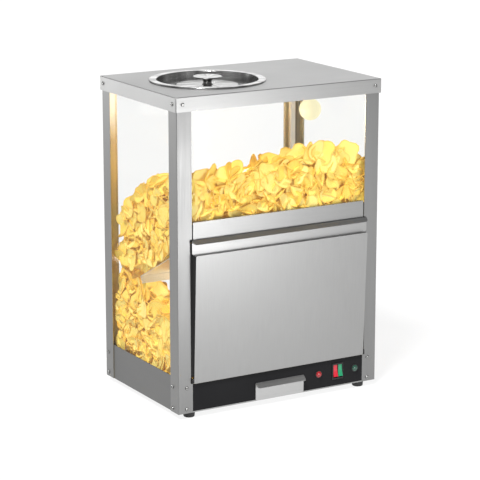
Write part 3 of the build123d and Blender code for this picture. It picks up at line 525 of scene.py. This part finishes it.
def bridge_height(x):
    """Underside of the chips that bridge the gap behind the shelf."""
    return BRIDGE_Z - BRIDGE_DROP * max(0.0, x - BRIDGE_X)


def holds_chip(x, y, z):
    """Whether the load reaches this point, and is near enough to its outside to be seen."""
    on_shelf = z > shelf_height(y) and y < SHELF_TIP.y + SHELF_REACH
    if not on_shelf and z > bin_limit(x):
        behind_shelf = FALL_Y[0] < y < (FALL_Y[1] if z < FALL_WIDE_Z else LOAD_Y[1])
        in_gap = x < FALL_X[0] or z > bridge_height(x)
        return behind_shelf and in_gap and z < heap_height(x, y)
    top = heap_height(x, y) if on_shelf else bin_height(x, y)
    from_wall = min(HOPPER_X - abs(x), y - LOAD_Y[0], LOAD_Y[1] - y)
    return z < top and min(from_wall, top - z) < SEEN_DEPTH


def rest_on_shelf(at, reach):
    """Height at which a chip clears the shelf. reach is its outline, measured from its middle."""
    above = reach[at.y + reach[:, 1] < SHELF_TIP.y + SHELF_CLEAR]
    lowest = [shelf_height(at.y + y) + SHELF_CLEAR - z for _, y, z in above]
    return max([at.z, *lowest])


def chip_turn(rng, at):
    """A chip's turn: flatter near a wall or the top of the heap, and looser away from them."""
    walls = (
        (at.y - LOAD_Y[0], Vector((0, -1, 0))),
        (LOAD_Y[1] - at.y, Vector((0, 1, 0))),
        (HOPPER_X + at.x, Vector((-1, 0, 0))),
        (HOPPER_X - at.x, Vector((1, 0, 0))),
        (abs(heap_height(at.x, at.y) - at.z), Vector((0, 0, 1))),
    )
    distance, outward = min(walls, key=lambda wall: wall[0])
    looseness = STRAY_AT_WALL + min(STRAY_IN_OPEN, distance / OPEN_DISTANCE)
    normal = outward + Vector([rng.gauss(0, 1) for _ in range(3)]) * looseness * STRAY
    spin = Euler((0, 0, rng.uniform(0, math.tau))).to_matrix()
    return (normal.to_track_quat("Z", "Y").to_matrix() @ spin).to_euler()


def load_chips():
    """Fills the cabinet cell by cell. Each cell takes its random draws, even if it stays empty."""
    rng = random.Random(CHIP_SEED)
    material = chip_material()
    shapes = [chip_mesh(f"chip_shape_{i}", rng, material) for i in range(CHIP_SHAPES)]
    outlines = [np.array([v.co for v in m.vertices]) for m in shapes]
    load = bpy.data.objects.new("chip_load", None)
    scene.collection.objects.link(load)
    space = (2 * HOPPER_X, LOAD_Y[1] - LOAD_Y[0], LOAD_HEIGHT)
    first = (-HOPPER_X, LOAD_Y[0], BIN_FLOOR)
    made = 0
    for cell in np.ndindex(*[int(size / CHIP_PITCH) + 1 for size in space]):
        jitter = Vector([rng.uniform(-0.5, 0.5) * CHIP_PITCH for _ in range(3)])
        at = Vector([start + n * CHIP_PITCH for start, n in zip(first, cell)]) + jitter
        turn = chip_turn(rng, at)
        kind = rng.randrange(len(shapes))
        if not holds_chip(*at):
            continue
        reach = outlines[kind] @ np.array(turn.to_matrix()).T
        low, high = reach.min(0), reach.max(0)
        at.x = min(max(at.x, -HOPPER_X - low[0]), HOPPER_X - high[0])
        at.y = min(max(at.y, LOAD_Y[0] - low[1]), LOAD_Y[1] - high[1])
        if at.z > shelf_height(at.y):
            at.z = rest_on_shelf(at, reach)
        else:
            at.z = max(at.z, BIN_FLOOR - low[2])
        chip = bpy.data.objects.new(f"chip_{made:04d}", shapes[kind])
        chip.parent = load
        chip.location = at
        chip.rotation_euler = turn
        scene.collection.objects.link(chip)
        made += 1
    print("chips", made)


load_chips()

# ---- Stage: floor, world and lights ----
FLOOR_HALF = 14.0
FLOOR_GLOW = 0.86  # the floor gives off light, so that the ground is white as in the photograph
floor_mesh = bpy.data.meshes.new("floor")
quarters = ((-1, -1), (1, -1), (1, 1), (-1, 1))
corners = [(x * FLOOR_HALF, y * FLOOR_HALF, 0) for x, y in quarters]
floor_mesh.from_pydata(corners, [], [(0, 1, 2, 3)])
floor = bpy.data.objects.new("floor", floor_mesh)
scene.collection.objects.link(floor)
floor_shader = Shader("floor")
floor_tone = floor_shader.noise(1.5, detail=3.0)
floor_grey = floor_shader.tint(floor_tone, (0.14, 0.14, 0.14), (0.16, 0.16, 0.16))
floor_shader.to(floor_grey, "Base Color")
floor_shader.set(roughness=0.9, specular_ior_level=0.1)
floor_shader.set(emission_color=(1, 1, 1, 1), emission_strength=FLOOR_GLOW)
floor_mesh.materials.append(floor_shader.material)

world = bpy.data.worlds.new("studio")
scene.world = world
world.use_nodes = True
sky = world.node_tree
background = sky.nodes["Background"]
background.inputs["Color"].default_value = (1.0, 1.0, 1.0, 1)
direction = sky.nodes.new("ShaderNodeTexCoord").outputs["Generated"]
ROOM_GLOW = 0.24
# Soft walls of light: the direction in which each one is brightest, the cosines from that
# direction at which it starts and is full, and how strong it is.
WALLS = [
    ((0.10, -0.98, 0.05), (0.78, 0.99), 0.33),
    ((0.50, 0.82, 0.24), (0.78, 1.00), 1.15),
]
total = ROOM_GLOW
for towards, (faint, full), strength in WALLS:
    centre = Vector(towards).normalized()
    nearness = step(sky, "VectorMath", "DOT_PRODUCT", direction, centre).outputs["Value"]
    wall = sky.nodes.new("ShaderNodeMapRange")
    wall.interpolation_type = "SMOOTHSTEP"
    wall.inputs["From Min"].default_value = faint
    wall.inputs["From Max"].default_value = full
    wall.inputs["To Max"].default_value = strength
    sky.links.new(nearness, wall.inputs["Value"])
    total = step(sky, "Math", "ADD", wall.outputs["Result"], total).outputs["Value"]
sky.links.new(total, background.inputs["Strength"])


def add_light(name, kind, power, **settings):
    data = bpy.data.lights.new(name, kind)
    data.energy = power
    for setting, value in settings.items():
        setattr(data, setting, value)
    light = bpy.data.objects.new(name, data)
    scene.collection.objects.link(light)
    return light


def turn_towards(direction):
    """The turn of a light that shines in a direction."""
    return Vector(direction).to_track_quat("-Z", "Y").to_euler()


def softbox(name, power, size, place, aim):
    """A large square light looking at a point, not seen by the camera."""
    light = add_light(name, "AREA", power, shape="SQUARE", size=size)
    light.location = place
    light.rotation_euler = turn_towards(Vector(aim) - Vector(place))
    light.visible_camera = False


def inner_lamp(name, power, colour, place):
    """A small soft lamp inside the cabinet, not seen by the camera."""
    light = add_light(name, "POINT", power, color=colour, shadow_soft_size=0.03)
    light.location = place
    light.visible_camera = False


softbox("front", power=4.3, size=0.40, place=(0.22, -1.20, 0.24), aim=(-0.15, -0.15, 0.35))
softbox("left", power=2.0, size=0.45, place=(-1.05, 1.10, 0.56), aim=(-0.23, 0.0, 0.50))
ceiling = add_light("ceiling", "SUN", 3.5, angle=math.radians(12.0))
ceiling.rotation_euler = turn_towards((0.46, 0.35, -0.82))
bulb_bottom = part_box("bulb")[0][2]
inner_lamp("bulb_glow", power=2.0, colour=(1.0, 0.86, 0.58), place=(0.03, 0.02, bulb_bottom))
inner_lamp("bin_glow", power=0.9, colour=(1.0, 0.95, 0.86), place=(-0.04, -0.06, 0.236))
